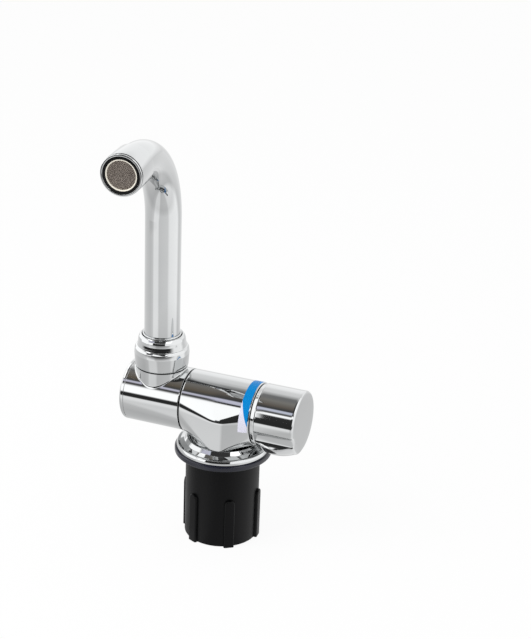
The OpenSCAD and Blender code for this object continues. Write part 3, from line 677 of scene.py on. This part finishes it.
def knobReach(x):
    # radius of the knob round one section
    s = knobSizes
    base = np.full_like(knobTurns, s["radius"])
    left = x - s["left"]
    if left < s["bead"] + 2 * s["groove"]:
        if left < s["bead"]:
            return base - s["beadLean"] * (1 - left / s["bead"])
        return base - s["groove"] * (1 - abs(left - s["bead"] - s["groove"]) / s["groove"])
    away = knobTurns - math.radians(s["lobeTurn"])
    offset = s["radius"] + s["lobeRise"] - s["lobeRadius"]
    size = s["lobeRadius"] - s["lobeBow"] + math.sqrt(s["lobeBow"] ** 2 - (x - s["lobeX"]) ** 2)
    lobe = offset * np.cos(away) + np.sqrt(np.maximum(size ** 2 - (offset * np.sin(away)) ** 2, 0))
    reach = -smoothMin(-base, -lobe, 0.8)
    away = knobTurns - math.radians(s["scoopTurn"])
    far = s["radius"] - s["scoopDepth"] + s["scoopRadius"]
    under = s["scoopRadius"] ** 2 - (far * np.sin(away)) ** 2
    edge = far * np.cos(away) - np.sqrt(np.maximum(under, 0))
    scoop = np.where((under > 0) & (np.cos(away) > 0), edge, 99.0)
    return smoothMin(reach, scoop, 0.35)


s = knobSizes
grip = s["left"] + s["bead"] + 2 * s["groove"]
stations = [(s["left"] + 0.2 * (1 - math.cos(a)), 0.2 * (1 - math.sin(a))) for a in (0.0, 0.4, 0.9)]
stations += [(x, 0) for x in np.linspace(s["left"] + 0.25, s["left"] + s["bead"] - 0.02, 8)]
stations += [(s["left"] + s["bead"] + s["groove"], 0), (grip - 0.001, 0)]
stations += [(x, 0) for x in np.linspace(grip + 0.02, s["right"] - s["edge"], 46)]
stations += [(s["right"] - s["edge"] + s["edge"] * math.sin(a), s["edge"] * (1 - math.cos(a)))
             for a in np.linspace(0, math.pi / 2, 11)[1:]]
rows = []
for x, shrink in stations:
    reach = knobReach(min(x, s["right"] - s["edge"])) - shrink
    rows.append(np.column_stack([np.full_like(reach, x), -reach * np.cos(knobTurns),
                                 axisZ + reach * np.sin(knobTurns)]))
holeEnd = s["left"] + s["depth"]
blindHole = boreRings(rows[0], [(holeEnd, 0.2), (holeEnd, s["cavity"]), (s["left"], s["cavity"])])
endFace = boreRings(rows[-1], [(s["right"], r) for r in (11.0, 5.5, 0.3)])
points, faces = stackedRings(blindHole + rows + endFace, through=False)
finishPiece("turningKnob", points, faces, "chrome", "knob", ["knob_shell"], sharpAngle=40)
print("knob made")


chromeShare = 0.56    # how much of the light the chrome gives back


def seen(level, gain):
    # a grey level or hex as the chrome should show it -> the light that has to be there
    text = level if isinstance(level, str) else "#%02X%02X%02X" % ((level,) * 3)
    return tuple(c * gain / chromeShare for c in linear(text)[:3]) + (1.0,)


def lightBands(tree, place, stops, gain=None):
    # stops: (place, level); levels are what the chrome shows, or plain shares where no gain is given
    low, high = stops[0][0], stops[-1][0]
    share = addNode(tree, "ShaderNodeMapRange", {"Value": place, "From Min": low, "From Max": high})
    node = addNode(tree, "ShaderNodeValToRGB", {0: share.outputs[0]})
    elements = node.color_ramp.elements
    while len(elements) < len(stops):
        elements.new(0.5)
    for element, (at, level) in zip(elements, stops):
        element.position = (at - low) / (high - low)
    for element, (at, level) in zip(elements, stops):
        element.color = seen(level, gain) if gain else (level, level, level, 1)
    return node.outputs[0]


def angleFromFront(tree, side, depth):
    # degrees from the front, -Y, towards the side's axis
    back = addNode(tree, "ShaderNodeMath", {0: depth, 1: -1.0}, operation="MULTIPLY").outputs[0]
    angle = addNode(tree, "ShaderNodeMath", {0: side, 1: back}, operation="ARCTAN2").outputs[0]
    return addNode(tree, "ShaderNodeMath", {0: angle, 1: 180 / math.pi}, operation="MULTIPLY").outputs[0]


def mirrorRays(tree):
    # light path with a factor that is 1 for what metal and glass show
    rays = addNode(tree, "ShaderNodeLightPath")
    either = addNode(tree, "ShaderNodeMath", {0: rays.outputs["Is Glossy Ray"],
                                              1: rays.outputs["Is Transmission Ray"]}, operation="MAXIMUM")
    return rays.outputs["Is Camera Ray"], either.outputs[0]


floorSizes = {"half": 4.0, "z": -0.0491, "glow": 8.6, "white": 0.93, "sides": 0.893, "nearGain": 0.25,
              "farGain": 0.5}
s = floorSizes
corners = [(x * s["half"], y * s["half"], s["z"]) for x, y in ((-1, -1), (1, -1), (1, 1), (-1, 1))]
floorMesh = bpy.data.meshes.new("floor")
floorMesh.from_pydata(corners, [], [(0, 1, 2, 3)])
floor = bpy.data.objects.new("floor", floorMesh)
bpy.context.scene.collection.objects.link(floor)
floor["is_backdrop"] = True

# pale painted board; as a mirror shows it, it glows bright in front, with painted light streaks and a painted
# shadow near the object, by distance and direction
floorMaterial = bpy.data.materials.new("paleFloor")
floorMaterial.use_nodes = True
tree = floorMaterial.node_tree
tree.nodes.clear()
place = addNode(tree, "ShaderNodeTexCoord").outputs["Object"]
split = addNode(tree, "ShaderNodeSeparateXYZ", {0: place})
flatPlace = addNode(tree, "ShaderNodeCombineXYZ", {0: split.outputs[0], 1: split.outputs[1]})
distance = addNode(tree, "ShaderNodeVectorMath", {0: flatPlace.outputs[0]},
                   operation="LENGTH").outputs["Value"]
degrees = angleFromFront(tree, split.outputs[0], split.outputs[1])
# painted shadow: as a mirror shows it, the floor is darker within 0.3 m of the object, in place of the
# object's own shadow
paintedNearShadow = lightBands(tree, distance, [
    (0, 166), (0.06, 182), (0.13, 184), (0.2, 180), (0.3, 198), (1, 198)], s["nearGain"])
farLight = lightBands(tree, distance, [(0, 255), (0.5, 255), (0.6, 165), (0.72, 52), (1, 48)], s["farGain"])
# painted light: brighter streaks on the floor by direction, in place of pools of lamp light as a mirror shows
# them
paintedLightStreaks = lightBands(tree, degrees, [
    (-180, 0.5), (-110, 0.5), (-60, 0.44), (-44, 0.5), (-38, 0.66), (-12, 0.66), (-4, 0.48), (50, 0.52),
    (62, 0.68), (125, 0.74), (142, 0.49), (180, 0.54)])
front = lightBands(tree, degrees, [(-180, 0), (-80, 0), (-60, 1), (60, 1), (80, 0), (180, 0)])
light = addNode(tree, "ShaderNodeMix", {0: front, 6: (s["sides"],) * 3 + (1,), 7: farLight}, data_type="RGBA")
for factor in (paintedNearShadow, paintedLightStreaks):
    light = addNode(tree, "ShaderNodeMix", {0: 1.0, 6: light.outputs[2], 7: factor}, data_type="RGBA",
                    blend_type="MULTIPLY")
forCamera, forMirrors = mirrorRays(tree)
matt = addNode(tree, "ShaderNodeBsdfDiffuse", {"Color": linear("#F4F4F4")})
white = addNode(tree, "ShaderNodeEmission", {"Color": (1, 1, 1, 1), "Strength": 1.0})
glow = addNode(tree, "ShaderNodeEmission", {"Color": light.outputs[2], "Strength": s["glow"]})
share = addNode(tree, "ShaderNodeMath", {0: forCamera, 1: s["white"]}, operation="MULTIPLY")
plain = addNode(tree, "ShaderNodeMixShader", {0: share.outputs[0], 1: matt.outputs[0], 2: white.outputs[0]})
both = addNode(tree, "ShaderNodeMixShader", {0: forMirrors, 1: plain.outputs[0], 2: glow.outputs[0]})
addNode(tree, "ShaderNodeOutputMaterial", {"Surface": both.outputs[0]})
floorMesh.materials.append(floorMaterial)

# the room as the chrome sees it: white panels left and right of the camera, a dark ceiling, pale behind
roomSizes = {"mirrored": 2.5, "soft": 0.75, "seen": 1.0, "gain": 0.4, "boxGain": 0.5}
# grey levels by degrees above the horizon: black strip, white panel, lavender strip, brown ceiling, pale back
floorEdge = [(-180, 196), (-20, 180), (-8, 60), (-4, 38)]
leftRoom = [(4, 36), (6.5, 150), (8.5, 255), (31, 255), (34, 215), (37, 110), (39.5, 62), (43, 70),
            (45.5, "#B2B0BE"), (50, "#B8B8C6"), (52, 90), (55, 62), (63, "#585147"), (72, "#5F5A54"),
            (84, "#686561"), (93, 92), (98, 120), (104, 150), (112, 185), (122, 200), (138, 206),
            (150, 226), (170, 226), (180, 200)]
rightRoom = [(12, 44), (14.5, 252), (32, 252), (34.5, 40), (39, 44), (41.5, "#B8B8C8"), (51, "#B8B8C8"),
             (54, 60), (60, 60), (72, "#5A544E"), (84, "#686561"), (96, 108), (106, 150), (112, 185),
             (180, 196)]
knobRoom = [(27.5, 44), (30.5, 250), (36, 250), (38, 72), (43, 96), (45.5, "#B6BAC8"), (51.5, "#B6BAC8"),
            (54, 54), (58, 62), (66, "#5A544E"), (84, "#72706C"), (96, 104), (104, 106), (112, 160),
            (125, 204), (180, 196)]
frontRoom = [(30, 42), (33, 250), (40, 250), (42, 46), (72, 54), (95, 92), (112, 185), (180, 196)]

world = bpy.data.worlds.new("studio")
bpy.context.scene.world = world
world.use_nodes = True
tree = world.node_tree
tree.nodes.clear()
direction = addNode(tree, "ShaderNodeTexCoord").outputs["Generated"]
split = addNode(tree, "ShaderNodeSeparateXYZ", {0: direction})
across, height = split.outputs[0], split.outputs[2]
climb = angleFromFront(tree, height, split.outputs[1])


def overlay(below, above, windows):
    # lays one light over another inside windows of (value, low, high, soft edge)
    share = 1.0
    for value, low, high, soft in windows:
        for start, end in ((low - soft, low), (high + soft, high)):
            edge = addNode(tree, "ShaderNodeMapRange", {"Value": value, "From Min": start, "From Max": end})
            share = addNode(tree, "ShaderNodeMath", {0: edge.outputs[0], 1: share},
                            operation="MULTIPLY").outputs[0]
    return addNode(tree, "ShaderNodeMix", {0: share, 6: below, 7: above}, data_type="RGBA").outputs[2]


s = roomSizes
roomLight = lightBands(tree, across, [(-1, 250), (-0.7, 250), (-0.6, 205), (0.6, 205), (0.7, 235), (1, 235)],
                       s["gain"])
lowered = (climb, -180, 116, 6)    # keeps the back of the room the same all the way across
bandSets = [(leftRoom, [(across, -0.6, 0.6, 0.08)]), (rightRoom, [(across, -0.343, 0.6, 0.003), lowered]),
            (knobRoom, [(across, -0.3175, 0.6, 0.005), lowered]),
            (frontRoom, [(across, -0.24, 0.6, 0.03), lowered])]
for bands, windows in bandSets:
    roomLight = overlay(roomLight, lightBands(tree, climb, floorEdge + bands, s["gain"]), windows)
# two window-like boxes of light, high on both sides
for left, right, low, high in ((-0.56, -0.42, 0.74, 0.9), (0.5, 0.74, 0.64, 0.86)):
    roomLight = overlay(roomLight, seen(255, s["boxGain"]),
                        [(across, left, right, 0.01), (height, low, high, 0.01)])
forCamera, forMirrors = mirrorRays(tree)
soft = addNode(tree, "ShaderNodeBackground", {"Color": (1, 1, 1, 1), "Strength": s["soft"]})
studio = addNode(tree, "ShaderNodeBackground", {"Color": roomLight, "Strength": s["mirrored"]})
plain = addNode(tree, "ShaderNodeBackground", {"Color": (1, 1, 1, 1), "Strength": s["seen"]})
inner = addNode(tree, "ShaderNodeMixShader", {0: forMirrors, 1: soft.outputs[0], 2: studio.outputs[0]})
outer = addNode(tree, "ShaderNodeMixShader", {0: forCamera, 1: inner.outputs[0], 2: plain.outputs[0]})
addNode(tree, "ShaderNodeOutputWorld", {"Surface": outer.outputs[0]})

lampSizes = {"place": (-0.5, -0.55, 0.9), "aim": (0, 0, 0.05), "size": 0.6, "power": 6.0}
lampData = bpy.data.lights.new("softKey", "AREA")
lampData.size = lampSizes["size"]
lampData.energy = lampSizes["power"]
lamp = bpy.data.objects.new("softKey", lampData)
lamp.location = lampSizes["place"]
away = Vector(lampSizes["place"]) - Vector(lampSizes["aim"])
lamp.rotation_euler = away.to_track_quat("Z", "Y").to_euler()
lamp.visible_glossy = False
bpy.context.scene.collection.objects.link(lamp)

cameraSizes = {"place": (0.28079528, -0.68689585, 0.39074043),
               "turn": (67.04830765, -2.05059811, 21.55378841), "lens": 87.3454866}
cameraData = bpy.data.cameras.new("camera")
cameraData.sensor_width = 36
cameraData.sensor_fit = "AUTO"
cameraData.lens = cameraSizes["lens"]
camera = bpy.data.objects.new("camera", cameraData)
camera.location = cameraSizes["place"]
camera.rotation_euler = Euler([math.radians(a) for a in cameraSizes["turn"]])
bpy.context.scene.collection.objects.link(camera)
bpy.context.scene.camera = camera
bpy.context.scene.view_settings.view_transform = "Standard"
print("stage made")

low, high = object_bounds()
